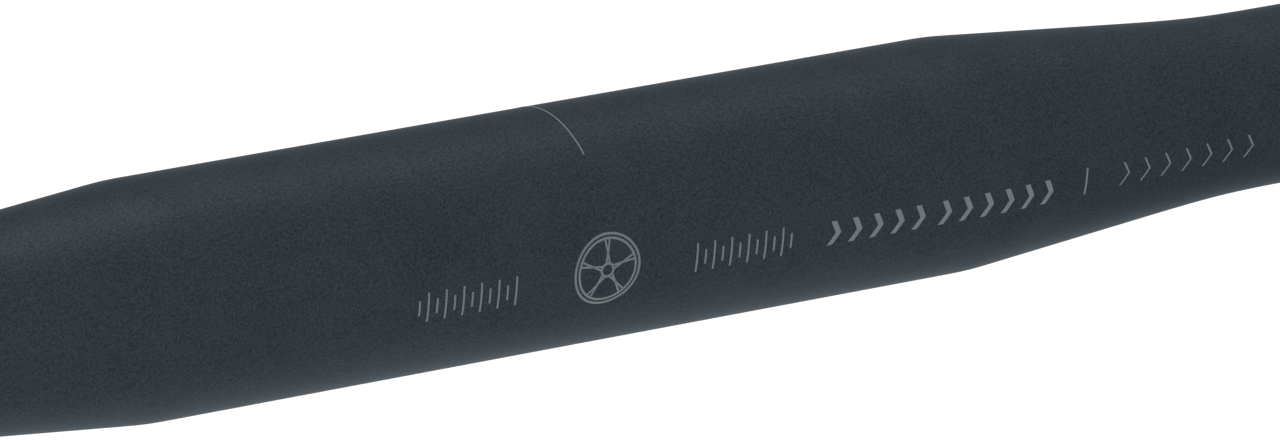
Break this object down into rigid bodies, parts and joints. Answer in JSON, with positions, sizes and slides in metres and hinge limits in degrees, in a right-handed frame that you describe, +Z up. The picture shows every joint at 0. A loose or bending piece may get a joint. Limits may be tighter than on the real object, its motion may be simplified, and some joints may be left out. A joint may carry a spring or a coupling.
{
  "type": "drop handlebar",
  "caption": "Flared drop handlebar: a butted, bent tube with an oversize stem clamp, short hooks, and an expanding screw plug in each open end.",
  "frame": {"origin": "middle of the stem clamp, on the tube's axis", "axes": "+X along the clamp towards the rider's left, -Y forward in the direction of travel, +Z up; the drops hang to -Z"},
  "size_m": [0.4908, 0.1523, 0.1428],
  "materials": {
    "black_anodised": "fine bead-blasted, black anodised, with a faint blue cast",
    "etched_grey": "laser-etched marks through the black, matt grey",
    "cap_nylon": "moulded, fine spark-eroded texture",
    "washer_steel": "zinc plated, tumbled",
    "screw_steel": "stainless, turned",
    "sleeve_nylon": "moulded dark grey nylon",
    "wedge_brass": "turned"
  },
  "bodies": {
    "bar": {"bar_tube": "black_anodised"},
    "left_plug": {"left_end_cap": "cap_nylon", "left_plug_washer": "washer_steel", "left_expander_sleeve": "sleeve_nylon"},
    "left_screw": {"left_plug_screw": "screw_steel"},
    "left_wedge": {"left_wedge_nut": "wedge_brass"},
    "right_plug": {"right_end_cap": "cap_nylon", "right_plug_washer": "washer_steel", "right_expander_sleeve": "sleeve_nylon"},
    "right_screw": {"right_plug_screw": "screw_steel"},
    "right_wedge": {"right_wedge_nut": "wedge_brass"}
  },
  "joints": [
    {"name": "left_plug_pull", "type": "slide", "parent": "bar", "child": "left_plug", "axis": [0.0181, 0.9962, -0.0853], "range_m": [0, 0.04]},
    {"name": "left_screw_turn", "type": "hinge", "parent": "left_plug", "child": "left_screw", "pos_m": [0.23343, 0.06747, -0.11498], "axis": [0.0181, 0.9962, -0.0853], "range_deg": [0, 1440]},
    {"name": "left_wedge_travel", "type": "slide", "parent": "left_plug", "child": "left_wedge", "axis": [-0.0181, -0.9962, 0.0853], "range_m": [0, 0.0032]},
    {"name": "right_plug_pull", "type": "slide", "parent": "bar", "child": "right_plug", "axis": [-0.0181, 0.9962, -0.0853], "range_m": [0, 0.04]},
    {"name": "right_screw_turn", "type": "hinge", "parent": "right_plug", "child": "right_screw", "pos_m": [-0.23343, 0.06747, -0.11498], "axis": [-0.0181, 0.9962, -0.0853], "range_deg": [0, 1440]},
    {"name": "right_wedge_travel", "type": "slide", "parent": "right_plug", "child": "right_wedge", "axis": [0.0181, -0.9962, 0.0853], "range_m": [0, 0.0032]}
  ],
  "couplings": [
    {"joint": "left_wedge_travel", "follows": "left_screw_turn", "m_per_rad": 0.00012732},
    {"joint": "right_wedge_travel", "follows": "right_screw_turn", "m_per_rad": 0.00012732}
  ]
}
